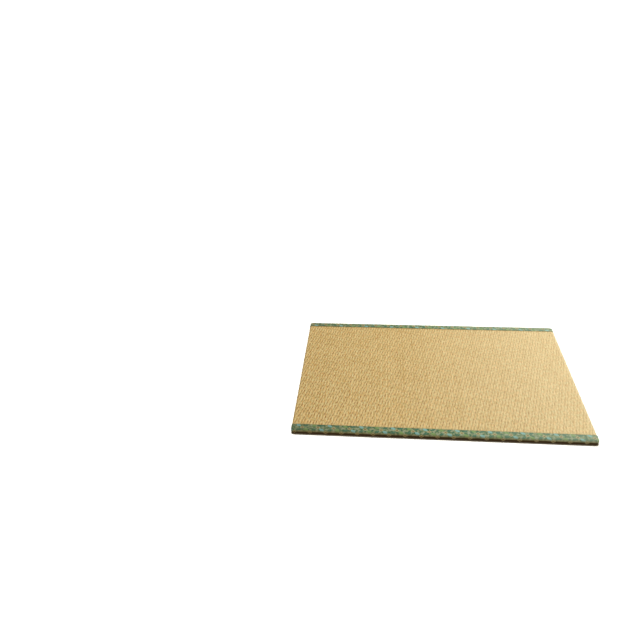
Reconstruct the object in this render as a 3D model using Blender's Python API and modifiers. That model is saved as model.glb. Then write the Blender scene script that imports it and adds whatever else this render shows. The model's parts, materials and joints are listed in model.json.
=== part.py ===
"""A tatami mat: a rush cover wrapped on a firm board, with a patterned cloth binding along each long side.

Metres, +Z up. The origin is on the floor under the middle of the mat. X runs along the mat's length. The two
bindings lie along the long sides, at -Y and +Y, and the cover shows bare at the two short ends.
"""

import bmesh
import bpy
from mathutils import Vector

# Driving dimensions
LENGTH = 1.350
WIDTH = 0.900
THICKNESS = 0.025
BINDING_WIDTH = 0.040
CLOTH_THICKNESS = 0.0015
CORNER_RADIUS = 0.016
TOP_EDGE_RADIUS = 0.010
BOTTOM_EDGE_RADIUS = 0.007

# Room left between one piece and the next
CLEARANCE = 0.0003

# Flats that stand for each rounded stretch
CORNER_STEPS = 6
EDGE_STEPS = 6

# How far the body lies inside the bindings' outer face
WRAP = CLOTH_THICKNESS + CLEARANCE

# Where the bindings' inner edges run, and how far the bare cover reaches towards them on the underside
BINDING_LINE = WIDTH / 2 - BINDING_WIDTH
BARE_LINE = BINDING_LINE - CLEARANCE

RUSH_COLOUR = "D5B881"
BINDING_COLOUR = "7B8B69"


def clear_scene():
    for old in list(bpy.data.objects):
        bpy.data.objects.remove(old, do_unlink=True)


def linear_colour(hex_code):
    """The linear RGBA of an sRGB colour written as six hex digits."""
    channels = []
    for start in (0, 2, 4):
        value = int(hex_code[start : start + 2], 16) / 255
        channels.append(value / 12.92 if value <= 0.04045 else ((value + 0.055) / 1.055) ** 2.4)
    return (*channels, 1.0)


def make_material(name, hex_code, roughness):
    material = bpy.data.materials.new(name)
    material.use_nodes = True
    shader = material.node_tree.nodes["Principled BSDF"]
    shader.inputs["Base Color"].default_value = linear_colour(hex_code)
    shader.inputs["Roughness"].default_value = roughness
    shader.inputs["Metallic"].default_value = 0.0
    material.diffuse_color = linear_colour(hex_code)
    return material


def add_object(name, bm, material, collection):
    mesh = bpy.data.meshes.new(name)
    bm.to_mesh(mesh)
    bm.free()
    mesh.materials.append(material)
    mesh.shade_smooth()
    mesh.set_sharp_from_angle(angle=0.6)
    obj = bpy.data.objects.new(name, mesh)
    collection.objects.link(obj)
    return obj


def round_edges(bm, edges, radius, steps):
    bmesh.ops.bevel(
        bm,
        geom=edges,
        offset=radius,
        offset_type="OFFSET",
        segments=steps,
        profile=0.5,
        affect="EDGES",
        material=-1,
    )


def flat_face_edges(bm, up):
    """The edges round the top face (up is 1) or the bottom face (up is -1)."""
    face = max(bm.faces, key=lambda f: f.normal.z * up)
    return face.edges[:]


def rounded_slab(inset):
    """The mat's whole outer shape, drawn in by inset on every side."""
    bm = bmesh.new()
    bmesh.ops.create_cube(bm, size=1.0)
    size = Vector((LENGTH, WIDTH, THICKNESS)) - Vector((2 * inset,) * 3)
    bmesh.ops.scale(bm, vec=size, verts=bm.verts)
    bmesh.ops.translate(bm, vec=(0, 0, THICKNESS / 2), verts=bm.verts)
    uprights = [e for e in bm.edges if abs(e.verts[0].co.z - e.verts[1].co.z) > size.z / 2]
    round_edges(bm, uprights, CORNER_RADIUS - inset, CORNER_STEPS)
    bm.normal_update()
    round_edges(bm, flat_face_edges(bm, 1), TOP_EDGE_RADIUS - inset, EDGE_STEPS)
    bm.normal_update()
    round_edges(bm, flat_face_edges(bm, -1), BOTTOM_EDGE_RADIUS - inset, EDGE_STEPS)
    bm.normal_update()
    return bm


def cut_across(bm, y, **clear):
    """Cuts the whole mesh along the plane at y, whose normal points away from the mat's middle."""
    geom = bm.verts[:] + bm.edges[:] + bm.faces[:]
    outward = (0, 1 if y > 0 else -1, 0)
    bmesh.ops.bisect_plane(bm, geom=geom, plane_co=(0, y, 0), plane_no=outward, dist=1e-6, **clear)


def make_body(collection):
    """The cover wrapped on its board. Its underside stands down to the floor between the two bindings."""
    bm = rounded_slab(WRAP)
    for line in (-BARE_LINE, BARE_LINE):
        cut_across(bm, line)
    bm.normal_update()
    bare_underside = [
        f for f in bm.faces if f.normal.z < -0.01 and abs(f.calc_center_median().y) < BARE_LINE
    ]
    lowered = bmesh.ops.extrude_face_region(bm, geom=bare_underside)["geom"]
    corners = [v for v in lowered if isinstance(v, bmesh.types.BMVert)]
    bmesh.ops.translate(bm, vec=(0, 0, -WRAP), verts=corners)
    bmesh.ops.delete(bm, geom=bare_underside, context="FACES")
    rush = make_material("woven_rush", RUSH_COLOUR, 0.75)
    return add_object("rush_mat_body", bm, rush, collection)


def make_binding(name, side, cloth, collection):
    """One strip of cloth over the top, side, corners and underside of a long edge, which side names as -1 or 1."""
    bm = rounded_slab(0.0)
    cut_across(bm, side * BINDING_LINE, clear_inner=True)
    obj = add_object(name, bm, cloth, collection)
    wall = obj.modifiers.new("cloth thickness", "SOLIDIFY")
    wall.thickness = CLOTH_THICKNESS
    wall.offset = -1
    wall.use_even_offset = True
    return obj


def main():
    clear_scene()
    collection = bpy.data.collections.new("tatami_mat")
    bpy.context.scene.collection.children.link(collection)
    make_body(collection)
    cloth = make_material("patterned_binding_cloth", BINDING_COLOUR, 0.85)
    make_binding("front_binding", -1, cloth, collection)
    make_binding("back_binding", 1, cloth, collection)


main()
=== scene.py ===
# %% [markdown]
# # A tatami mat
#
# A tatami mat is a firm board in a cover of woven rush. The cover runs over the two short ends and is
# tucked under, and a strip of patterned cloth is sewn along each long side. This lesson dresses the plain
# solids of such a mat: it models the relief of the rush and the fold of the cloth, and it draws the weave
# and the cloth's pattern with nodes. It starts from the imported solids, which say where everything lies.

import json
import math

import bmesh
import bpy
import numpy as np
from mathutils import Matrix, Vector

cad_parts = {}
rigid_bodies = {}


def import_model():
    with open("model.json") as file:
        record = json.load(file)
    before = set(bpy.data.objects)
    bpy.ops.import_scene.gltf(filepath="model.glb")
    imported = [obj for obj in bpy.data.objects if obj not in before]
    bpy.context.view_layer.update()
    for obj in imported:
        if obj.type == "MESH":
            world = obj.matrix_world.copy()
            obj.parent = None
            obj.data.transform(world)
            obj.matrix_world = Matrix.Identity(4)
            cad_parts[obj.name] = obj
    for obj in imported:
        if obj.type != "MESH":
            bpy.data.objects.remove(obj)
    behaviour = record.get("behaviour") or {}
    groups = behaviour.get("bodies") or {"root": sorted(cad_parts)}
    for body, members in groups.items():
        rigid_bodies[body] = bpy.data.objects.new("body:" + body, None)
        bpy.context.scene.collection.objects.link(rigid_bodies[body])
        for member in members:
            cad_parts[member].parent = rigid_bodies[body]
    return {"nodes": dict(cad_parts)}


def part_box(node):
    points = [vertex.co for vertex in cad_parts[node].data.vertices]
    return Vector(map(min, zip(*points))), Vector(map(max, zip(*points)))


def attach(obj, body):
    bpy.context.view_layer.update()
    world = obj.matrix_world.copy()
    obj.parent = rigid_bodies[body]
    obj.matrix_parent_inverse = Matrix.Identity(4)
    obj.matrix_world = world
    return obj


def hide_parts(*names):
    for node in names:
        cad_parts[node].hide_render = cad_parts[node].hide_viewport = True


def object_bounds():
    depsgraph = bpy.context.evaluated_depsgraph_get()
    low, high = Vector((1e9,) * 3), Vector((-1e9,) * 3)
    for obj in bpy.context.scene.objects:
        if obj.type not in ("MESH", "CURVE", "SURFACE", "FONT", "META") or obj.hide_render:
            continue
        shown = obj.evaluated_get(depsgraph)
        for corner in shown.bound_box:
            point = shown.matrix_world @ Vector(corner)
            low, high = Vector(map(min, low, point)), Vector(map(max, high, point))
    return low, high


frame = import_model()
cad_low, cad_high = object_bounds()
print("solids:", sorted(frame["nodes"]), "box", cad_low, cad_high)

# %% [markdown]
# ## Sizes
#
# Every size below is a real one, in millimetres times MM. The mat's own sizes are read from the solids,
# so that the rush and the cloth land on them without any fitting. X runs along the mat, Y across it, and
# Z is up.

# %% Read the sizes from the solids
MM = 0.001
body_low, body_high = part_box("rush_mat_body")
binding_low, binding_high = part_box("front_binding")
BINDING_LINE = -binding_high.y
CORNER_ROUND = 16 * MM
TOP_ROUND = 10 * MM
BOTTOM_ROUND = 3 * MM
WRAP = cad_high.x - body_high.x
BODY_CORNER_ROUND = CORNER_ROUND - WRAP
BODY_TOP_ROUND = TOP_ROUND - WRAP
BODY_BOTTOM_ROUND = BOTTOM_ROUND - WRAP
print("binding from y", BINDING_LINE, "to", cad_high.y, "cloth and its room", round(WRAP / MM, 2), "mm")

# %% [markdown]
# ## The camera
#
# The photograph looks down on the mat from a little left of its middle. The place and the three angles
# were worked out from the mat's straight edges and the inner lines of its bindings. A lens with no shift
# brings all of them within about half a pixel of the photograph.

# %% Place the camera
CAMERA_PLACE = (-0.3055, -2.4663, 1.8996)
CAMERA_PITCH = math.radians(57.634)
CAMERA_TURN = math.radians(6.155)
CAMERA_ROLL = math.radians(2.043)
CAMERA_LENS = 34.04
CAMERA_SENSOR = 36.0

camera_data = bpy.data.cameras.new("camera")
camera_data.lens = CAMERA_LENS
camera_data.sensor_width = CAMERA_SENSOR
camera_data.clip_end = 200.0
camera = bpy.data.objects.new("camera", camera_data)
camera.matrix_world = (
    Matrix.Translation(CAMERA_PLACE)
    @ Matrix.Rotation(CAMERA_TURN, 4, "Z")
    @ Matrix.Rotation(CAMERA_PITCH, 4, "X")
    @ Matrix.Rotation(-CAMERA_ROLL, 4, "Z")
)
bpy.context.scene.collection.objects.link(camera)
bpy.context.scene.camera = camera
print("camera at", CAMERA_PLACE, "lens", CAMERA_LENS)

# %% [markdown]
# ## Helpers for materials
#
# Colours are written as people pick them, in sRGB hex. Blender's shaders work in linear light, so one
# function turns them over. Another adds a node, sets it up and links its inputs, which keeps a long
# pattern readable.


# %% Colour and node helpers
def linear_colour(hex_code):
    """The linear RGBA of an sRGB colour written as six hex digits."""
    channels = []
    for start in (0, 2, 4):
        value = int(hex_code[start : start + 2], 16) / 255
        channels.append(value / 12.92 if value <= 0.04045 else ((value + 0.055) / 1.055) ** 2.4)
    return (*channels, 1.0)


def add_node(tree, kind, inputs=None, **settings):
    """Adds a node with its settings. Each input is given a value, or the socket that feeds it."""
    node = tree.nodes.new(kind)
    for name, value in settings.items():
        setattr(node, name, value)
    for key, value in (inputs or {}).items():
        if isinstance(value, bpy.types.NodeSocket):
            tree.links.new(value, node.inputs[key])
        else:
            node.inputs[key].default_value = value
    return node


def new_material(name):
    """An empty node material, as (material, its node tree, its Principled shader)."""
    material = bpy.data.materials.new(name)
    material.use_nodes = True
    return material, material.node_tree, material.node_tree.nodes["Principled BSDF"]


# %% [markdown]
# ## The weave
#
# The cover is woven from rush stems that run across the mat, from binding to binding. About five stems
# lie side by side as one bundle, 6.55 mm wide. A bundle floats over several warps and then dips under
# one, and the dip of the next bundle lies 23.5 mm further on, so that the dips make slanting rows of
# short dark dashes. Inside a bundle each stem dips a little further on than its neighbour, so the dashes
# slant too. In one bundle the dips come in pairs that aren't quite evenly spaced, and the pair repeats
# every 101.7 mm. The same rule is used twice: here with numpy, for the shape, and further down with
# nodes, for the colour.

# %% The rule of the weave
STEMS_IN_BUNDLE = 5
FLAT_END = body_high.x - BODY_TOP_ROUND
BUNDLES = round(2 * FLAT_END / (6.55 * MM))
BUNDLE = 2 * FLAT_END / BUNDLES
STEM = BUNDLE / STEMS_IN_BUNDLE
DIP_STEP = 23.5 * MM
STEM_LAG = 3.0 * MM
DIP_REPEAT = 101.72 * MM
SECOND_DIP = 42.86 * MM
DIP_HALF_FLAT = 2.5 * MM
DIP_HALF_LENGTH = 10.5 * MM
# The dips aren't set out to the millimetre, so each bundle's wander to and fro by this much
DIP_WANDER = 2.2 * MM
WANDER_TURN = 2.399
# How deep the first and the second dip are in an even bundle, and how that changes in an odd one
FIRST_DIP, FIRST_DIP_CHANGE = 1.0, -0.22
SECOND_DIP_DEPTH, SECOND_DIP_CHANGE = 0.76, 0.16


def distance_to_repeat(place, repeat):
    """How far a place is from the nearest multiple of repeat."""
    return np.abs(place - repeat * np.round(place / repeat))


def smooth_fall(distance, start, end):
    """1 up to start, 0 from end on, and smooth between them."""
    t = np.clip((end - distance) / (end - start), 0, 1)
    return t * t * (3 - 2 * t)


def dip_at(around, across):
    """How deep the rush lies under its warps, from 0 to 1, at a place on the cover."""
    at = (around + FLAT_END) / BUNDLE + 1e-4
    bundle = np.floor(at)
    stem = np.floor(at * STEMS_IN_BUNDLE)
    odd = np.mod(bundle, 2)
    along = across - bundle * (DIP_STEP - STEMS_IN_BUNDLE * STEM_LAG) - stem * STEM_LAG
    along = along + DIP_WANDER * np.sin(WANDER_TURN * bundle)
    first = smooth_fall(distance_to_repeat(along, DIP_REPEAT), DIP_HALF_FLAT, DIP_HALF_LENGTH)
    second = smooth_fall(distance_to_repeat(along + SECOND_DIP, DIP_REPEAT), DIP_HALF_FLAT, DIP_HALF_LENGTH)
    first_depth = FIRST_DIP + FIRST_DIP_CHANGE * odd
    second_depth = SECOND_DIP_DEPTH + SECOND_DIP_CHANGE * odd
    return first * first_depth + second * second_depth


print(BUNDLES, "bundles of", round(BUNDLE / MM, 3), "mm, stems of", round(STEM / MM, 3), "mm")

# %% [markdown]
# ## The mat's body
#
# The real cover is one sheet drawn over the board, so the mesh is made the same way: a grid for the top,
# with three points to a bundle, whose two end rows are spun down over the rounded ends, drawn down the
# walls, spun under and joined below. Under the bindings nothing shows, so a few coarse rings there follow
# the hidden edge.

# %% Model the body's smooth form
POINTS_IN_BUNDLE = 3
ROW_STEP = 5.85 * MM
BARE_EDGE = BINDING_LINE - 0.4 * MM
ROWS = round(2 * BARE_EDGE / ROW_STEP)
TOP_ARC_STEPS = 6
WALL_STEPS = 4
BOTTOM_ARC_STEPS = 4
TUCKED_RINGS = 5
ARC_TOP_Z = body_high.z - BODY_TOP_ROUND
LOW_END = body_high.x - BODY_BOTTOM_ROUND
CORNER_END = body_high.x - BODY_CORNER_ROUND


def edges_of(geometry):
    return [part for part in geometry if isinstance(part, bmesh.types.BMEdge)]


def draw_out(bm, edges, move):
    """Extrudes a row of edges by a move, and returns the new row."""
    made = bmesh.ops.extrude_edge_only(bm, edges=edges)["geom"]
    corners = [part for part in made if isinstance(part, bmesh.types.BMVert)]
    bmesh.ops.translate(bm, vec=move, verts=corners)
    return edges_of(made)


def roll_over_end(bm, side):
    """Takes the grid's end row over the rounded end and under the mat, and returns the last row."""
    row = [e for e in bm.edges if all(abs(v.co.x - side * FLAT_END) < 1e-6 for v in e.verts)]
    quarter = {"axis": (0, 1, 0), "angle": side * math.pi / 2}
    top = bmesh.ops.spin(bm, geom=row, cent=(side * FLAT_END, 0, ARC_TOP_Z), steps=TOP_ARC_STEPS, **quarter)
    row = edges_of(top["geom_last"])
    for _ in range(WALL_STEPS):
        row = draw_out(bm, row, (0, 0, (BODY_BOTTOM_ROUND - ARC_TOP_Z) / WALL_STEPS))
    centre = (side * LOW_END, 0, BODY_BOTTOM_ROUND)
    low = bmesh.ops.spin(bm, geom=row, cent=centre, steps=BOTTOM_ARC_STEPS, **quarter)
    return edges_of(low["geom_last"])


def close_long_side(bm, side):
    """Draws the body's section out towards the long side, and closes it there."""
    row = [e for e in bm.edges if all(abs(v.co.y - side * BARE_EDGE) < 1e-6 for v in e.verts)]
    row = draw_out(bm, row, (0, side * 0.2 * MM, 0))
    step = (body_high.y - 0.5 * MM - BARE_EDGE) / TUCKED_RINGS
    for _ in range(TUCKED_RINGS):
        row = draw_out(bm, row, (0, side * step, 0))
    bmesh.ops.edgeloop_fill(bm, edges=row)


def share_left(y, round_size):
    """How much of a rounded edge's reach is left at y: 1 where the rounding starts, 0 at its outside."""
    past = max(abs(y) - (body_high.y - round_size), 0)
    return math.sqrt(max(round_size**2 - past**2, 0)) / round_size


def fit_under_binding(place):
    """Lifts a hidden point off the cloth under it, and rounds what the cloth wraps."""
    x, y, z = place
    if abs(x) > CORNER_END:
        x = math.copysign(CORNER_END + (abs(x) - CORNER_END) * share_left(y, BODY_CORNER_ROUND), x)
    flatter = share_left(y, BODY_TOP_ROUND)
    if z > ARC_TOP_Z:
        z = ARC_TOP_Z + (z - ARC_TOP_Z) * flatter
    elif z < BOTTOM_ROUND:
        drop = (BOTTOM_ROUND - z) * BODY_BOTTOM_ROUND / BOTTOM_ROUND
        z = BOTTOM_ROUND - drop * flatter
    return x, y, z


def smooth_body():
    bm = bmesh.new()
    bmesh.ops.create_grid(bm, x_segments=POINTS_IN_BUNDLE * BUNDLES, y_segments=ROWS, size=1.0)
    bmesh.ops.scale(bm, vec=(FLAT_END, BARE_EDGE, 1), verts=bm.verts)
    bmesh.ops.translate(bm, vec=(0, 0, body_high.z), verts=bm.verts)
    last_rows = [roll_over_end(bm, side) for side in (-1, 1)]
    bmesh.ops.bridge_loops(bm, edges=last_rows[0] + last_rows[1])
    for side in (-1, 1):
        close_long_side(bm, side)
    for v in bm.verts:
        if abs(v.co.y) > BARE_EDGE + 0.1 * MM:
            v.co = fit_under_binding(v.co)
    bmesh.ops.remove_doubles(bm, verts=bm.verts, dist=0.001 * MM)
    bmesh.ops.recalc_face_normals(bm, faces=bm.faces)
    return bm


body_mesh = bpy.data.meshes.new("woven_rush_mat")
body_bm = smooth_body()
body_bm.to_mesh(body_mesh)
body_bm.free()
print("body:", len(body_mesh.vertices), "points,", len(body_mesh.polygons), "faces")

# %% [markdown]
# ## The relief of the rush
#
# Each bundle is crowned, sinks at its dips and meets the next one in a groove. The relief is added along
# each point's normal, so it also follows the cover round the ends. It fades out towards the bindings,
# where the stitches pull the cover down, and at the floor. Where each point lies on the unrolled sheet is
# kept as a UV map in metres, which the material's weave is drawn on.

# %% Raise the bundles and keep the unrolled sheet
CREST = 0.55 * MM
GROOVE_DEPTH = 0.42 * MM
DIP_DEPTH = 0.55 * MM
BINDING_FADE = 7 * MM
UNEVEN = 0.10 * MM
# A bundle's back is flatter than a half circle, and the dip is shallower in the grooves than on the backs
CROWN_FLATNESS = 0.6
DIP_IN_GROOVE = 0.35


def unrolled_length(x, z):
    """How far round the mat's section a point lies on the cover, from the middle of the top."""
    out = np.abs(x)
    top_arc = BODY_TOP_ROUND * np.arctan2(out - FLAT_END, z - ARC_TOP_Z)
    wall = BODY_TOP_ROUND * math.pi / 2 + ARC_TOP_Z - z
    low_angle = np.arctan2(BODY_BOTTOM_ROUND - z, out - LOW_END)
    wall_end = BODY_TOP_ROUND * math.pi / 2 + ARC_TOP_Z - BODY_BOTTOM_ROUND
    bottom_arc = wall_end + BODY_BOTTOM_ROUND * low_angle
    past_end = np.where(z > ARC_TOP_Z, top_arc, np.where(z > BODY_BOTTOM_ROUND, wall, bottom_arc))
    on_top = (out <= FLAT_END + 1e-6) & (z > ARC_TOP_Z)
    return np.sign(x) * np.where(on_top, out, FLAT_END + past_end)


def mesh_points(mesh, kind="co"):
    values = np.empty(3 * len(mesh.vertices), np.float32)
    mesh.vertices.foreach_get(kind, values)
    return values.reshape(-1, 3).astype(float)


def set_map(mesh, name, map_points):
    """Gives a mesh a UV map from one place for each of its points."""
    corner_points = np.empty(len(mesh.loops), np.int32)
    mesh.loops.foreach_get("vertex_index", corner_points)
    layer = mesh.uv_layers.new(name=name)
    layer.data.foreach_set("uv", map_points[corner_points].astype(np.float32).ravel())


points = mesh_points(body_mesh)
around = unrolled_length(points[:, 0], points[:, 2])
across = points[:, 1]
set_map(body_mesh, "weave", np.stack([around, across], 1))

in_bundle = np.mod((around + FLAT_END) / BUNDLE + 1e-4, 1.0)
crown = np.sin(math.pi * in_bundle) ** CROWN_FLATNESS
crown[in_bundle < 0.01] = 0
off_binding = np.clip((BARE_EDGE - np.abs(across)) / BINDING_FADE, 0, 1)
off_floor = np.clip(points[:, 2] / BODY_BOTTOM_ROUND - 0.2, 0, 1)
shown = off_binding * off_floor
shown = shown * shown * (3 - 2 * shown)
wave = np.sin(9.1 * around + 1.3) * np.sin(11.7 * across + 0.4) + np.sin(23.0 * around - 5.1 * across)
dip_here = dip_at(around, across) * (DIP_IN_GROOVE + (1 - DIP_IN_GROOVE) * crown)
lift = CREST - GROOVE_DEPTH * (1 - crown) - DIP_DEPTH * dip_here + UNEVEN * wave
points += mesh_points(body_mesh, "normal") * (lift * shown)[:, None]
body_mesh.vertices.foreach_set("co", points.astype(np.float32).ravel())
body_mesh.update()
body_mesh.shade_smooth()

body = bpy.data.objects.new("woven_rush_mat", body_mesh)
bpy.context.scene.collection.objects.link(body)
print("relief from", round(lift.min() / MM, 2), "to", round(lift.max() / MM, 2), "mm")

# %% [markdown]
# ## The rush's finish
#
# Dried rush is straw-coloured, with a satin gloss from its waxy skin. Every stem has its own tone, which
# drifts along its length, and so has every stretch of a bundle between two dips. Here and there a bundle
# dried redder or greener. The right half of the mat is painted paler, a painted sheen, most of all where
# it turns over the end, a painted highlight. The dips are painted darker: partly painted shade, as less
# light gets in there, and partly because the stems are pressed together there.
# Stems are 1.3 mm wide, too fine to show from a few steps away, so they are drawn at their real size for
# the close view, and the bundles and dips carry the look from afar.

# %% Woven rush material
RUSH_PALE = "E4C888"
RUSH_DEEP = "BE984A"
# Painted shade in the dips, together with the darker colour of the pressed stems there
RUSH_DIP_PAINTED_SHADE = "8A5C1A"
# The darker, browner colour of the rush along the bindings
RUSH_EDGE = "B5803A"
# Painted sheen: the pale colour that the right half and the turned end are painted towards
RUSH_PAINTED_SHEEN = "ECDCB0"
# What the straw colour is multiplied by where the rush dried redder, and where it stayed greener
REDDER = (1.07, 0.97, 0.86, 1.0)
GREENER = (0.94, 1.03, 1.06, 1.0)
# Changes per metre along the rush: about one every 15, 12, 18 and 110 mm
STEM_DRIFT, FLOAT_DRIFT, HUE_DRIFT, PATCH_DRIFT = 65.0, 85.0, 55.0, 9.0
# How much each difference deepens the straw colour, and where their sum starts
STEM_TONE, FLOAT_TONE, BUNDLE_TONE, ODD_TONE, PATCH_TONE = 1.5, 1.3, 0.2, 0.35, 0.3
TONE_START = -1.38
# How far from the binding the rush is darker and browner
BROWNER_REACH = 9 * MM
# Heights in the bump, in millimetres
STEM_RELIEF, DIP_RELIEF = 0.16, 0.3


def woven_rush():
    material, tree, shader = new_material("woven_dried_rush")
    sheet = add_node(tree, "ShaderNodeUVMap", uv_map="weave").outputs["UV"]
    place = add_node(tree, "ShaderNodeSeparateXYZ", {0: sheet})
    around_mat, across_mat = place.outputs["X"], place.outputs["Y"]

    # Which bundle this is, and how far across it
    at = add_node(
        tree,
        "ShaderNodeMath",
        {0: around_mat, 1: 1 / BUNDLE, 2: FLAT_END / BUNDLE},
        operation="MULTIPLY_ADD",
    ).outputs[0]
    bundle = add_node(tree, "ShaderNodeMath", {0: at}, operation="FLOOR").outputs[0]
    in_bundle = add_node(tree, "ShaderNodeMath", {0: at}, operation="FRACT").outputs[0]
    odd = add_node(tree, "ShaderNodeMath", {0: bundle, 1: 1.0}, operation="PINGPONG").outputs[0]

    # How far along the stem's own repeat
    stem_at = add_node(
        tree, "ShaderNodeMath", {0: at, 1: float(STEMS_IN_BUNDLE)}, operation="MULTIPLY"
    ).outputs[0]
    stem = add_node(tree, "ShaderNodeMath", {0: stem_at}, operation="FLOOR").outputs[0]
    turned = add_node(tree, "ShaderNodeMath", {0: bundle, 1: WANDER_TURN}, operation="MULTIPLY").outputs[0]
    sine = add_node(tree, "ShaderNodeMath", {0: turned}, operation="SINE").outputs[0]
    stepped = add_node(
        tree,
        "ShaderNodeMath",
        {0: bundle, 1: STEMS_IN_BUNDLE * STEM_LAG - DIP_STEP, 2: across_mat},
        operation="MULTIPLY_ADD",
    ).outputs[0]
    lagged = add_node(
        tree, "ShaderNodeMath", {0: stem, 1: -STEM_LAG, 2: stepped}, operation="MULTIPLY_ADD"
    ).outputs[0]
    along = add_node(
        tree, "ShaderNodeMath", {0: sine, 1: DIP_WANDER, 2: lagged}, operation="MULTIPLY_ADD"
    ).outputs[0]

    # The two dips of the repeat, each as deep as the bundle is odd or even
    dip_parts = []
    for offset, depth, change in (
        (0.0, FIRST_DIP, FIRST_DIP_CHANGE),
        (SECOND_DIP, SECOND_DIP_DEPTH, SECOND_DIP_CHANGE),
    ):
        moved = add_node(tree, "ShaderNodeMath", {0: along, 1: offset}, operation="ADD").outputs[0]
        away = add_node(
            tree, "ShaderNodeMath", {0: moved, 1: DIP_REPEAT / 2}, operation="PINGPONG"
        ).outputs[0]
        sunk = add_node(
            tree,
            "ShaderNodeMapRange",
            {"Value": away, "From Min": DIP_HALF_LENGTH, "From Max": DIP_HALF_FLAT},
            interpolation_type="SMOOTHSTEP",
        ).outputs[0]
        deep = add_node(
            tree, "ShaderNodeMath", {0: odd, 1: change, 2: depth}, operation="MULTIPLY_ADD"
        ).outputs[0]
        part = add_node(tree, "ShaderNodeMath", {0: sunk, 1: deep}, operation="MULTIPLY").outputs[0]
        dip_parts.append(part)
    dip = add_node(tree, "ShaderNodeMath", {0: dip_parts[0], 1: dip_parts[1]}, operation="ADD").outputs[0]

    # Single stems: their rounded backs and their tones
    stem_side = add_node(tree, "ShaderNodeMath", {0: stem_at, 1: 0.5}, operation="PINGPONG").outputs[0]
    stem_back = add_node(
        tree,
        "ShaderNodeMapRange",
        {"Value": stem_side, "From Min": 0.0, "From Max": 0.35},
        interpolation_type="SMOOTHERSTEP",
    ).outputs[0]
    stem_place = add_node(tree, "ShaderNodeCombineXYZ", {"X": stem, "Y": across_mat}).outputs[0]
    stem_drift = add_node(
        tree, "ShaderNodeMapping", {"Vector": stem_place, "Scale": (7.3, STEM_DRIFT, 1.0)}
    ).outputs[0]
    stem_tone = add_node(
        tree,
        "ShaderNodeTexNoise",
        {"Vector": stem_drift, "Scale": 1.0, "Detail": 1.0},
        noise_dimensions="2D",
    ).outputs[0]

    # Bundles: their tones, and those of their single floats
    bundle_tone = add_node(tree, "ShaderNodeTexWhiteNoise", {"W": bundle}, noise_dimensions="1D").outputs[0]
    bundle_place = add_node(tree, "ShaderNodeCombineXYZ", {"X": bundle, "Y": across_mat}).outputs[0]
    float_drift = add_node(
        tree,
        "ShaderNodeMapping",
        {"Vector": bundle_place, "Location": (50.0, 0.0, 0.0), "Scale": (3.7, FLOAT_DRIFT, 1.0)},
    ).outputs[0]
    float_tone = add_node(
        tree,
        "ShaderNodeTexNoise",
        {"Vector": float_drift, "Scale": 1.0, "Detail": 1.0},
        noise_dimensions="2D",
    ).outputs[0]
    patch_tone = add_node(
        tree,
        "ShaderNodeTexNoise",
        {"Vector": sheet, "Scale": PATCH_DRIFT, "Detail": 3.0},
        noise_dimensions="2D",
    ).outputs[0]

    # Tones add up to how deep the straw colour is
    tone = TONE_START
    for difference, share in (
        (stem_tone, STEM_TONE),
        (bundle_tone, BUNDLE_TONE),
        (odd, ODD_TONE),
        (float_tone, FLOAT_TONE),
        (patch_tone, PATCH_TONE),
    ):
        tone = add_node(
            tree, "ShaderNodeMath", {0: difference, 1: share, 2: tone}, operation="MULTIPLY_ADD"
        ).outputs[0]
    straw = add_node(
        tree,
        "ShaderNodeMix",
        {0: tone, 6: linear_colour(RUSH_PALE), 7: linear_colour(RUSH_DEEP)},
        data_type="RGBA",
    ).outputs[2]

    # Stretches of a bundle dried redder or greener than others
    hue_drift = add_node(
        tree, "ShaderNodeMapping", {"Vector": bundle_place, "Scale": (0.83, HUE_DRIFT, 1.0)}
    ).outputs[0]
    hue = add_node(
        tree,
        "ShaderNodeTexNoise",
        {"Vector": hue_drift, "Scale": 1.0, "Detail": 1.0},
        noise_dimensions="2D",
    ).outputs[0]
    hue = add_node(tree, "ShaderNodeMapRange", {"Value": hue, "From Min": 0.3, "From Max": 0.7}).outputs[0]
    cast = add_node(tree, "ShaderNodeMix", {0: hue, 6: REDDER, 7: GREENER}, data_type="RGBA").outputs[2]
    straw = add_node(
        tree, "ShaderNodeMix", {0: 1.0, 6: straw, 7: cast}, data_type="RGBA", blend_type="MULTIPLY"
    ).outputs[2]

    # Painted sheen: the right half is painted paler, and the turned end most of all, as a painted highlight
    painted_sheen = 0.0
    for start, end, most in ((-0.3, FLAT_END, 0.27), (FLAT_END - 9 * MM, FLAT_END + 5 * MM, 0.35)):
        sheen_share = add_node(
            tree,
            "ShaderNodeMapRange",
            {"Value": around_mat, "From Min": start, "From Max": end, "To Min": 0.0, "To Max": most},
            interpolation_type="SMOOTHSTEP",
        ).outputs[0]
        painted_sheen = add_node(tree, "ShaderNodeMath", {0: sheen_share, 1: painted_sheen}, operation="ADD").outputs[0]
    straw = add_node(
        tree, "ShaderNodeMix", {0: painted_sheen, 6: straw, 7: linear_colour(RUSH_PAINTED_SHEEN)}, data_type="RGBA"
    ).outputs[2]

    # Towards the right end the dips get less painted shade, to go with the painted sheen there
    dip_shade = add_node(
        tree,
        "ShaderNodeMapRange",
        {"Value": around_mat, "From Min": -FLAT_END, "From Max": FLAT_END, "To Min": 0.80, "To Max": 0.30},
    ).outputs[0]

    # Redder stretches also get more painted shade in their dips, greener ones less
    uneven = add_node(tree, "ShaderNodeMapRange", {"Value": hue, "To Min": 1.4, "To Max": 0.55}).outputs[0]
    dip_shade = add_node(tree, "ShaderNodeMath", {0: dip_shade, 1: uneven}, operation="MULTIPLY").outputs[0]

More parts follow.
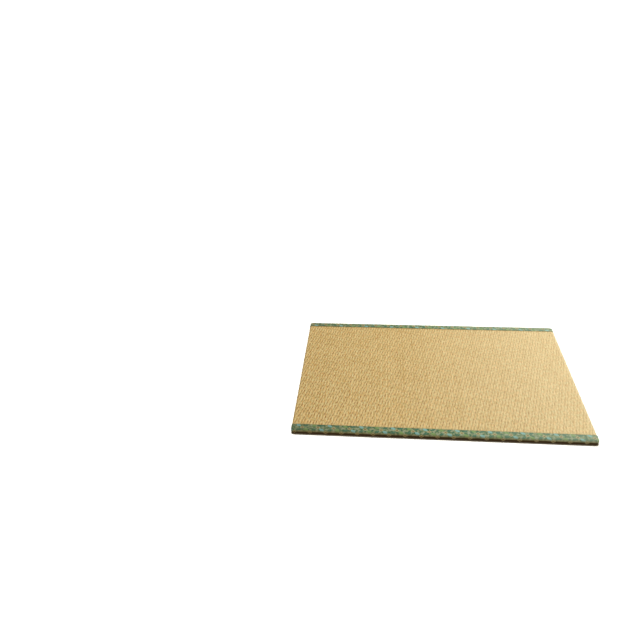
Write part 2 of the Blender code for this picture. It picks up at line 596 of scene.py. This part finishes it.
    # Painted shade in the dips and in the grooves between bundles
    side = add_node(tree, "ShaderNodeMath", {0: in_bundle, 1: 0.5}, operation="PINGPONG").outputs[0]
    groove = add_node(
        tree,
        "ShaderNodeMapRange",
        {"Value": side, "From Min": 0.0, "From Max": 0.14, "To Min": 0.25, "To Max": 0.0},
        interpolation_type="SMOOTHSTEP",
    ).outputs[0]
    shade = add_node(
        tree, "ShaderNodeMath", {0: dip, 1: dip_shade, 2: groove}, operation="MULTIPLY_ADD", use_clamp=True
    ).outputs[0]
    shaded = add_node(
        tree, "ShaderNodeMix", {0: shade, 6: straw, 7: linear_colour(RUSH_DIP_PAINTED_SHADE)}, data_type="RGBA"
    ).outputs[2]

    # The rush is darker and browner along the bindings
    off_middle = add_node(tree, "ShaderNodeMath", {0: across_mat}, operation="ABSOLUTE").outputs[0]
    near_binding = add_node(
        tree,
        "ShaderNodeMapRange",
        {"Value": off_middle, "From Min": BINDING_LINE - BROWNER_REACH, "From Max": BINDING_LINE, "To Max": 0.4},
        interpolation_type="SMOOTHSTEP",
    ).outputs[0]
    coloured = add_node(
        tree, "ShaderNodeMix", {0: near_binding, 6: shaded, 7: linear_colour(RUSH_EDGE)}, data_type="RGBA"
    ).outputs[2]
    tree.links.new(coloured, shader.inputs["Base Color"])

    # Rounded stems, and a deeper dent where the mesh is too coarse for the dip's ends
    height = add_node(tree, "ShaderNodeMath", {0: stem_back, 1: STEM_RELIEF}, operation="MULTIPLY").outputs[0]
    height = add_node(
        tree, "ShaderNodeMath", {0: dip, 1: -DIP_RELIEF, 2: height}, operation="MULTIPLY_ADD"
    ).outputs[0]
    bump = add_node(tree, "ShaderNodeBump", {"Height": height, "Distance": MM, "Strength": 1.0}).outputs[0]
    tree.links.new(bump, shader.inputs["Normal"])
    gloss = add_node(
        tree, "ShaderNodeMapRange", {"Value": stem_tone, "To Min": 0.45, "To Max": 0.55}
    ).outputs[0]
    tree.links.new(gloss, shader.inputs["Roughness"])
    shader.inputs["IOR"].default_value = 1.55
    return material


body_mesh.materials.append(woven_rush())
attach(body, "root")
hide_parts("rush_mat_body")
print("finished", body.name)

# %% [markdown]
# ## The bindings
#
# Each binding is one strip of cloth over the top, the side, the two corners and the underside of a long
# edge. The strip follows a rounded slab, so a cube is bevelled to that slab, cut along the binding's
# inner line and cut into short lengths, which lets the cloth ripple. The cloth gets its thickness from
# Solidify, and Bevel rounds its folded edges.

# %% Model a binding's cloth
CLOTH_THICKNESS = 1.5 * MM
CORNER_STEPS = 8
EDGE_STEPS = 8
CUT_STEP = 8 * MM
FLAT_CUTS = (1.2 * MM, 3.0 * MM, 6.0 * MM, 12.0 * MM, 20.0 * MM)
WALL_CUTS = (6.0 * MM, 10.5 * MM)
FOLD_SWELL = 0.40 * MM
RIPPLE = 0.16 * MM
EDGE_WANDER = 0.35 * MM
CORE_X = cad_high.x - CORNER_ROUND
CORE_Y = cad_high.y - CORNER_ROUND
FLAT_REACH = CORNER_ROUND - TOP_ROUND


def round_edges(bm, edges, radius, steps):
    bmesh.ops.bevel(
        bm,
        geom=edges,
        offset=radius,
        offset_type="OFFSET",
        segments=steps,
        profile=0.5,
        affect="EDGES",
        material=-1,
    )
    bm.normal_update()


def cut(bm, place, normal, clear=False):
    """Cuts the whole mesh along a plane, and with clear takes away what lies behind it."""
    geometry = bm.verts[:] + bm.edges[:] + bm.faces[:]
    bmesh.ops.bisect_plane(
        bm, geom=geometry, plane_co=place, plane_no=normal, dist=0.001 * MM, clear_inner=clear
    )


def binding_surface(side):
    """The outer face of one binding, which side names as -1 or 1."""
    bm = bmesh.new()
    bmesh.ops.create_cube(bm, size=1.0)
    size = cad_high - cad_low
    bmesh.ops.scale(bm, vec=size, verts=bm.verts)
    bmesh.ops.translate(bm, vec=(cad_low + cad_high) / 2, verts=bm.verts)
    uprights = [e for e in bm.edges if abs(e.verts[0].co.z - e.verts[1].co.z) > size.z / 2]
    round_edges(bm, uprights, CORNER_ROUND, CORNER_STEPS)
    round_edges(bm, max(bm.faces, key=lambda f: f.normal.z).edges[:], TOP_ROUND, EDGE_STEPS)
    round_edges(bm, min(bm.faces, key=lambda f: f.normal.z).edges[:], BOTTOM_ROUND, EDGE_STEPS)
    cut(bm, (0, side * BINDING_LINE, 0), (0, side, 0), clear=True)
    for inward in FLAT_CUTS:
        cut(bm, (0, side * (BINDING_LINE + inward), 0), (0, side, 0))
    for height in WALL_CUTS:
        cut(bm, (0, 0, height), (0, 0, 1))
    lengths = round(2 * CORE_X / CUT_STEP)
    for x in np.linspace(-CORE_X, CORE_X, lengths + 1)[1:-1]:
        cut(bm, (x, 0, 0), (1, 0, 0))
    return bm


def unrolled_cloth(points):
    """Where each point of a binding lies on its flat strip: along it, and outwards from the inner edge."""
    x, y, z = points.T
    past = np.stack([np.clip(np.abs(x) - CORE_X, 0, None), np.clip(np.abs(y) - CORE_Y, 0, None)], 1)
    reach = np.hypot(*past.T)
    outward = np.where(reach[:, None] > 1e-6, past / np.maximum(reach, 1e-6)[:, None], [[0.0, 1.0]])
    above_wall = np.clip(z - cad_high.z + TOP_ROUND, 0, None)
    top_arc = TOP_ROUND * np.arctan2(np.clip(reach - FLAT_REACH, 0, None), above_wall)
    wall_top = TOP_ROUND * math.pi / 2
    wall = wall_top + cad_high.z - TOP_ROUND - z
    low_reach = CORNER_ROUND - BOTTOM_ROUND
    low_angle = np.arctan2(np.clip(BOTTOM_ROUND - z, 0, None), np.clip(reach - low_reach, 0, None))
    wall_end = wall_top + cad_high.z - TOP_ROUND - BOTTOM_ROUND
    bottom = wall_end + BOTTOM_ROUND * low_angle + np.clip(low_reach - reach, 0, None)
    inner = np.clip(CORE_Y - np.abs(y), 0, None)
    on_top = z > cad_high.z - TOP_ROUND
    on_wall = (z <= cad_high.z - TOP_ROUND) & (z >= BOTTOM_ROUND)
    down = np.where(on_top, top_arc, np.where(on_wall, wall, bottom + np.where(z < 0.1 * MM, inner, 0)))
    start = np.minimum(reach, FLAT_REACH)[:, None] * outward
    flat = np.where(on_top[:, None], start, FLAT_REACH * outward) + down[:, None] * outward
    along = np.sign(x) * (np.minimum(np.abs(x), CORE_X) + flat[:, 0])
    below = np.where(z < 0.1 * MM, CORE_Y, np.minimum(np.abs(y), CORE_Y))
    return np.stack([along, below + flat[:, 1] - BINDING_LINE], 1)


def ripple_cloth(points, normals, strip, side):
    """The cloth isn't a machined shape: its fold swells, its top ripples and its inner edge wanders."""
    along, outward = strip.T
    top = points[:, 2] > cad_high.z - TOP_ROUND
    swell = FOLD_SWELL * np.exp(-(((outward - 2.2 * MM) / (2.4 * MM)) ** 2)) * top
    slow = np.sin(41 * along + 1.1 * side) + 0.7 * np.sin(97 * along + 60 * outward + 2 * side)
    quick = 0.5 * np.sin(233 * along - 140 * outward)
    ripple = RIPPLE * (slow + quick) / 2 * np.clip(outward / (10 * MM), 0, 1) * (points[:, 2] > 1 * MM)
    points = points + normals * (swell + ripple - RIPPLE)[:, None] * (points[:, 2] > 1 * MM)[:, None]
    at_edge = np.exp(-outward / (4 * MM)) * top
    points[:, 1] += side * EDGE_WANDER * at_edge * (np.sin(17 * along + side) + np.sin(43 * along)) / 2
    return points


def binding(name, side):
    mesh = bpy.data.meshes.new(name)
    bm = binding_surface(side)
    bm.to_mesh(mesh)
    bm.free()
    points = mesh_points(mesh)
    strip = unrolled_cloth(points)
    turned = strip * [-side, 1]
    set_map(mesh, "strip", turned)
    points = ripple_cloth(points, mesh_points(mesh, "normal"), strip, side)
    mesh.vertices.foreach_set("co", points.astype(np.float32).ravel())
    mesh.update()
    mesh.shade_smooth()
    obj = bpy.data.objects.new(name, mesh)
    bpy.context.scene.collection.objects.link(obj)
    wall = obj.modifiers.new("cloth thickness", "SOLIDIFY")
    wall.thickness = CLOTH_THICKNESS
    wall.offset = -1
    wall.use_even_offset = True
    fold = obj.modifiers.new("folded edges", "BEVEL")
    fold.width = 0.7 * MM
    fold.segments = 3
    fold.limit_method = "ANGLE"
    fold.angle_limit = math.radians(60)
    print(name, len(mesh.polygons), "faces, strip", strip.min(0), strip.max(0))
    return obj


front = binding("front_cloth_binding", -1)
back = binding("back_cloth_binding", 1)

# %% [markdown]
# ## The binding's pattern
#
# The cloth is a figured weave with an old lattice pattern. Small four-petalled flowers stand 71.1 mm
# apart in rows, each row half a step on from the last and 26 mm further out, and thin stalks join them.
# Half-way along the stalks of one slant lie pale leaves, teal and leaf green by turns, and on the other
# slant dark ones. Two slanting coordinates, p and q, turn this into squares: a flower stands wherever
# both are whole numbers, a pale leaf where p is a half and q is whole, and a dark one where q is a half
# and p is whole. The cloth's colour also carries painted light: a painted sheen towards the right end,
# painted shade towards the left one, a painted yellowish highlight on the outer fold, and painted dark
# brown shade on the side below it.

# %% Figured binding cloth
FLOWER_PITCH = 71.06 * MM
ROW_PITCH = 26 * MM
FIRST_FLOWER = -623.5 * MM
FIRST_ROW = 20.5 * MM
# Threads are nearer 0.4 mm apart. They are drawn at twice that, so that they show.
THREAD = 0.85 * MM
CLOTH_GREEN = "8A966A"
CLOTH_DARK = "426E4E"
CLOTH_GREY = "A0AC8E"
LEAF_DARK = "40735A"
LEAF_GREEN = "80A05C"
LEAF_TEAL = "86BCB4"
STALK_GREEN = "A6BC92"
FLOWER_OCHRE = "D6C98E"
FLOWER_HEART = "7C6440"
# Painted sheen towards the right end, and painted shade towards the left one
CLOTH_PAINTED_SHEEN = "ACB6A0"
CLOTH_PAINTED_SHADE = "494322"
# A painted yellowish highlight on the outer fold, and painted dark brown shade on the side below it
FOLD_PAINTED_HIGHLIGHT = "B29C68"
SIDE_PAINTED_SHADE = "3C2704"
# Parts of the lattice's squares: a leaf's half length, a stalk's and a rib's half width, and a flower's sizes
LEAF_REACH = 0.28
STALK = 0.016
RIB = 0.014
OUTLINE, PETALS, HEART, PETAL_GAP = 0.185, 0.155, 0.095, 0.012


def figured_cloth():
    material, tree, shader = new_material("figured_cotton_binding")
    strip = add_node(tree, "ShaderNodeUVMap", uv_map="strip").outputs["UV"]
    woven = add_node(
        tree, "ShaderNodeVectorMath", {0: strip, 1: (THREAD, THREAD, THREAD)}, operation="SNAP"
    ).outputs[0]
    place = add_node(tree, "ShaderNodeSeparateXYZ", {0: woven})

    # p and q are whole at every flower
    along = add_node(
        tree,
        "ShaderNodeMath",
        {0: place.outputs["X"], 1: 1 / FLOWER_PITCH, 2: -FIRST_FLOWER / FLOWER_PITCH},
        operation="MULTIPLY_ADD",
    ).outputs[0]
    slant = add_node(
        tree,
        "ShaderNodeMath",
        {0: place.outputs["Y"], 1: 0.5 / ROW_PITCH, 2: -0.5 * FIRST_ROW / ROW_PITCH},
        operation="MULTIPLY_ADD",
    ).outputs[0]
    p = add_node(tree, "ShaderNodeMath", {0: along, 1: slant}, operation="ADD").outputs[0]
    q = add_node(tree, "ShaderNodeMath", {0: along, 1: slant}, operation="SUBTRACT").outputs[0]
    p_off = add_node(tree, "ShaderNodeMath", {0: p, 1: 0.5}, operation="PINGPONG").outputs[0]
    q_off = add_node(tree, "ShaderNodeMath", {0: q, 1: 0.5}, operation="PINGPONG").outputs[0]
    widest = add_node(tree, "ShaderNodeMath", {0: p_off, 1: q_off}, operation="MAXIMUM").outputs[0]
    narrowest = add_node(tree, "ShaderNodeMath", {0: p_off, 1: q_off}, operation="MINIMUM").outputs[0]

    # The ground: green threads with darker and greyer ones among them
    fleck = add_node(
        tree, "ShaderNodeTexNoise", {"Vector": woven, "Scale": 80.0, "Detail": 2.0}, noise_dimensions="2D"
    ).outputs[0]
    dark_fleck = add_node(
        tree, "ShaderNodeMapRange", {"Value": fleck, "From Min": 0.50, "From Max": 0.58}
    ).outputs[0]
    grey_fleck = add_node(
        tree, "ShaderNodeMapRange", {"Value": fleck, "From Min": 0.43, "From Max": 0.35}
    ).outputs[0]
    colour = add_node(
        tree,
        "ShaderNodeMix",
        {0: dark_fleck, 6: linear_colour(CLOTH_GREEN), 7: linear_colour(CLOTH_DARK)},
        data_type="RGBA",
    ).outputs[2]
    colour = add_node(
        tree, "ShaderNodeMix", {0: grey_fleck, 6: colour, 7: linear_colour(CLOTH_GREY)}, data_type="RGBA"
    ).outputs[2]

    # Thin pale stalks run from flower to flower, both ways
    stalk = add_node(tree, "ShaderNodeMath", {0: narrowest, 1: STALK}, operation="LESS_THAN").outputs[0]
    colour = add_node(
        tree, "ShaderNodeMix", {0: stalk, 6: colour, 7: linear_colour(STALK_GREEN)}, data_type="RGBA"
    ).outputs[2]

    # Leaves are pointed ovals: pale ones along p, teal in every other place, and dark ones along q
    leaf_count = add_node(tree, "ShaderNodeMath", {0: p}, operation="FLOOR").outputs[0]
    teal = add_node(tree, "ShaderNodeMath", {0: leaf_count, 1: 1.0}, operation="PINGPONG").outputs[0]
    pale_leaf = add_node(
        tree,
        "ShaderNodeMix",
        {0: teal, 6: linear_colour(LEAF_GREEN), 7: linear_colour(LEAF_TEAL)},
        data_type="RGBA",
    ).outputs[2]
    leaves = []
    for length_off, width_off, half_width, leaf_colour in (
        (q_off, p_off, 0.13, linear_colour(LEAF_DARK)),
        (p_off, q_off, 0.16, pale_leaf),
    ):
        along_leaf = add_node(
            tree, "ShaderNodeMath", {0: 0.5, 1: length_off}, operation="SUBTRACT"
        ).outputs[0]
        share = add_node(
            tree, "ShaderNodeMath", {0: along_leaf, 1: 1 / LEAF_REACH}, operation="MULTIPLY"
        ).outputs[0]
        share = add_node(tree, "ShaderNodeMath", {0: share, 1: 2.0}, operation="POWER").outputs[0]
        width = add_node(
            tree, "ShaderNodeMath", {0: share, 1: -half_width, 2: half_width}, operation="MULTIPLY_ADD"
        ).outputs[0]
        leaf = add_node(
            tree, "ShaderNodeMath", {0: width, 1: width_off}, operation="GREATER_THAN"
        ).outputs[0]
        rib = add_node(tree, "ShaderNodeMath", {0: width_off, 1: RIB}, operation="GREATER_THAN").outputs[0]
        rib = add_node(tree, "ShaderNodeMapRange", {"Value": rib, "To Min": 0.6, "To Max": 1.0}).outputs[0]
        blade = add_node(tree, "ShaderNodeMath", {0: leaf, 1: rib}, operation="MULTIPLY").outputs[0]
        colour = add_node(
            tree, "ShaderNodeMix", {0: blade, 6: colour, 7: leaf_colour}, data_type="RGBA"
        ).outputs[2]
        leaves.append(leaf)

    # Flowers: a dark outline, four ochre petals and a brown heart
    for size, hex_code in ((OUTLINE, CLOTH_DARK), (PETALS, FLOWER_OCHRE)):
        inside = add_node(tree, "ShaderNodeMath", {0: widest, 1: size}, operation="LESS_THAN").outputs[0]
        colour = add_node(
            tree, "ShaderNodeMix", {0: inside, 6: colour, 7: linear_colour(hex_code)}, data_type="RGBA"
        ).outputs[2]
    petal_gap = add_node(
        tree, "ShaderNodeMath", {0: narrowest, 1: PETAL_GAP}, operation="LESS_THAN"
    ).outputs[0]
    heart = add_node(tree, "ShaderNodeMath", {0: widest, 1: HEART}, operation="LESS_THAN").outputs[0]
    flower = add_node(tree, "ShaderNodeMath", {0: widest, 1: PETALS}, operation="LESS_THAN").outputs[0]
    gap = add_node(tree, "ShaderNodeMath", {0: petal_gap, 1: flower}, operation="MULTIPLY").outputs[0]
    brown = add_node(tree, "ShaderNodeMath", {0: gap, 1: heart}, operation="MAXIMUM").outputs[0]
    colour = add_node(
        tree, "ShaderNodeMix", {0: brown, 6: colour, 7: linear_colour(FLOWER_HEART)}, data_type="RGBA"
    ).outputs[2]

    # Painted light: like the rush, the cloth is painted paler towards the right end, a painted sheen, and
    # darker towards the left one, painted shade
    on_mat = add_node(tree, "ShaderNodeTexCoord").outputs["Object"]
    along_mat = add_node(tree, "ShaderNodeSeparateXYZ", {0: on_mat}).outputs["X"]
    for start, end, most, painted_tone in ((0.1, -0.65, 0.38, CLOTH_PAINTED_SHADE), (-0.05, 0.65, 0.33, CLOTH_PAINTED_SHEEN)):
        painted_amount = add_node(
            tree,
            "ShaderNodeMapRange",
            {"Value": along_mat, "From Min": start, "From Max": end, "To Max": most},
        ).outputs[0]
        colour = add_node(
            tree, "ShaderNodeMix", {0: painted_amount, 6: colour, 7: linear_colour(painted_tone)}, data_type="RGBA"
        ).outputs[2]

    # The fold gets a painted yellowish highlight, and the side below it painted dark brown shade, least so on
    # the raised flowers
    outward = add_node(tree, "ShaderNodeSeparateXYZ", {0: strip}).outputs["Y"]
    takes_edge_paint = add_node(
        tree, "ShaderNodeMapRange", {"Value": flower, "To Min": 1.0, "To Max": 0.38}
    ).outputs[0]
    for start, end, most, edge_colour in ((35 * MM, 44 * MM, 0.35, FOLD_PAINTED_HIGHLIGHT), (41 * MM, 49 * MM, 0.97, SIDE_PAINTED_SHADE)):
        edge_paint = add_node(
            tree,
            "ShaderNodeMapRange",
            {"Value": outward, "From Min": start, "From Max": end, "To Min": 0.0, "To Max": most},
            interpolation_type="SMOOTHSTEP",
        ).outputs[0]
        edge_paint = add_node(tree, "ShaderNodeMath", {0: edge_paint, 1: takes_edge_paint}, operation="MULTIPLY").outputs[0]
        colour = add_node(
            tree, "ShaderNodeMix", {0: edge_paint, 6: colour, 7: linear_colour(edge_colour)}, data_type="RGBA"
        ).outputs[2]

    # Single threads differ a little
    thread_tone = add_node(
        tree, "ShaderNodeTexWhiteNoise", {"Vector": woven}, noise_dimensions="2D"
    ).outputs[0]
    thread_tone = add_node(
        tree, "ShaderNodeMapRange", {"Value": thread_tone, "To Min": 0.86, "To Max": 1.12}
    ).outputs[0]
    colour = add_node(
        tree, "ShaderNodeVectorMath", {0: colour, "Scale": thread_tone}, operation="SCALE"
    ).outputs[0]
    tree.links.new(colour, shader.inputs["Base Color"])

    # Threads and figures stand up a little
    raised = add_node(tree, "ShaderNodeMath", {0: leaves[1], 1: flower}, operation="MAXIMUM").outputs[0]
    fine = add_node(tree, "ShaderNodeSeparateXYZ", {0: strip})
    warp = add_node(
        tree, "ShaderNodeMath", {0: fine.outputs["X"], 1: THREAD / 2}, operation="PINGPONG"
    ).outputs[0]
    weft = add_node(
        tree, "ShaderNodeMath", {0: fine.outputs["Y"], 1: THREAD / 2}, operation="PINGPONG"
    ).outputs[0]
    threads = add_node(tree, "ShaderNodeMath", {0: warp, 1: weft}, operation="ADD").outputs[0]
    height = add_node(
        tree, "ShaderNodeMath", {0: raised, 1: 0.12 * MM, 2: threads}, operation="MULTIPLY_ADD"
    ).outputs[0]
    bump = add_node(tree, "ShaderNodeBump", {"Height": height, "Distance": 0.4, "Strength": 1.0}).outputs[0]
    tree.links.new(bump, shader.inputs["Normal"])
    shader.inputs["Roughness"].default_value = 0.72
    shader.inputs["Specular IOR Level"].default_value = 0.25
    shader.inputs["Sheen Weight"].default_value = 0.08
    shader.inputs["Sheen Roughness"].default_value = 0.4
    return material


cloth = figured_cloth()
for piece, node in ((front, "front_binding"), (back, "back_binding")):
    piece.data.materials.append(cloth)
    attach(piece, "root")
    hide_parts(node)
print("finished", front.name, "and", back.name)

# %% [markdown]
# ## Floor and light
#
# The photograph has plain white all round the mat. A pale floor gives that, lit to white by a lamp of its
# own, whose small slant leaves a thin shadow along the mat's front. The floor is a little warm, which
# browns that shadow as in the photograph, and the lamp is as much bluer. The mat lies in a bright room.
# One big soft lamp behind and to the right puts a satin gloss on the right half of the rush, which its
# colour adds to with a painted sheen, and a smaller, cooler one low on the right brightens the rounded
# end. The floor throws no light back on the mat's sides, which stay dark, and the bindings' sides are
# darkened further by painted shade in the cloth's colour.

# %% Floor, lamp and world
FLOOR_SIZE = 120.0
FLOOR_PAINT = "A89E8C"
floor_mesh = bpy.data.meshes.new("floor")
floor_bm = bmesh.new()
bmesh.ops.create_grid(floor_bm, x_segments=1, y_segments=1, size=FLOOR_SIZE / 2)
bmesh.ops.translate(floor_bm, vec=(0, 0, -0.2 * MM), verts=floor_bm.verts)
floor_bm.to_mesh(floor_mesh)
floor_bm.free()
floor = bpy.data.objects.new("floor", floor_mesh)
bpy.context.scene.collection.objects.link(floor)
floor_paint, _, floor_shader = new_material("matt_pale_floor_paint")
floor_shader.inputs["Base Color"].default_value = linear_colour(FLOOR_PAINT)
floor_shader.inputs["Roughness"].default_value = 1.0
floor_shader.inputs["Specular IOR Level"].default_value = 0.0
floor_mesh.materials.append(floor_paint)
floor.visible_diffuse = False
floor.visible_glossy = False


def add_softbox(name, place, size, power, tint):
    """A rectangular lamp that points at the mat's middle."""
    data = bpy.data.lights.new(name, "AREA")
    data.shape = "RECTANGLE"
    data.size, data.size_y = size
    data.energy = power
    data.color = tint
    lamp = bpy.data.objects.new(name, data)
    aim = (-Vector(place)).to_track_quat("-Z", "Y")
    lamp.matrix_world = Matrix.Translation(place) @ aim.to_matrix().to_4x4()
    bpy.context.scene.collection.objects.link(lamp)


add_softbox("softbox", place=(2.5, 2.7, 2.4), size=(3.0, 2.2), power=86.0, tint=(1.0, 0.97, 0.87))
add_softbox("side_softbox", place=(4.0, 0.3, 1.6), size=(1.2, 1.2), power=54.0, tint=(0.92, 1.0, 1.0))

WASH_STRENGTH = 14.0
# Bluer than white by as much as the floor is warmer, so that the lit floor is plain white
WASH_TINT = (0.70, 0.80, 1.0)
WASH_SLANT = math.radians(-18)
wash_data = bpy.data.lights.new("floor_wash", "SUN")
wash_data.energy = WASH_STRENGTH
wash_data.color = WASH_TINT
wash_data.angle = math.radians(4)
wash = bpy.data.objects.new("floor_wash", wash_data)
wash.matrix_world = Matrix.Rotation(WASH_SLANT, 4, "X")
bpy.context.scene.collection.objects.link(wash)
washed = bpy.data.collections.new("lit_by_floor_wash")
washed.objects.link(floor)
wash.light_linking.receiver_collection = washed

# The room is darker and warmer near the floor than above
ROOM_LOW = (0.47, 0.40, 0.27, 1.0)
ROOM_HIGH = (0.755, 0.75, 0.755, 1.0)
WHITE = (1.0, 1.0, 1.0, 1.0)
world = bpy.data.worlds.new("bright_room")
bpy.context.scene.world = world
world.use_nodes = True
sky = world.node_tree
background = sky.nodes["Background"]
direction = add_node(sky, "ShaderNodeTexCoord").outputs["Generated"]
height = add_node(sky, "ShaderNodeSeparateXYZ", {0: direction}).outputs["Z"]
climb = add_node(
    sky,
    "ShaderNodeMapRange",
    {"Value": height, "From Min": -0.05, "From Max": 0.60},
    interpolation_type="SMOOTHSTEP",
).outputs[0]
room = add_node(sky, "ShaderNodeMix", {0: climb, 6: ROOM_LOW, 7: ROOM_HIGH}, data_type="RGBA").outputs[2]
seen = add_node(sky, "ShaderNodeLightPath").outputs["Is Camera Ray"]
shown_room = add_node(sky, "ShaderNodeMix", {0: seen, 6: room, 7: WHITE}, data_type="RGBA").outputs[2]
sky.links.new(shown_room, background.inputs["Color"])
bpy.context.scene.view_settings.view_transform = "Standard"
print("floor, lamp and world are set")
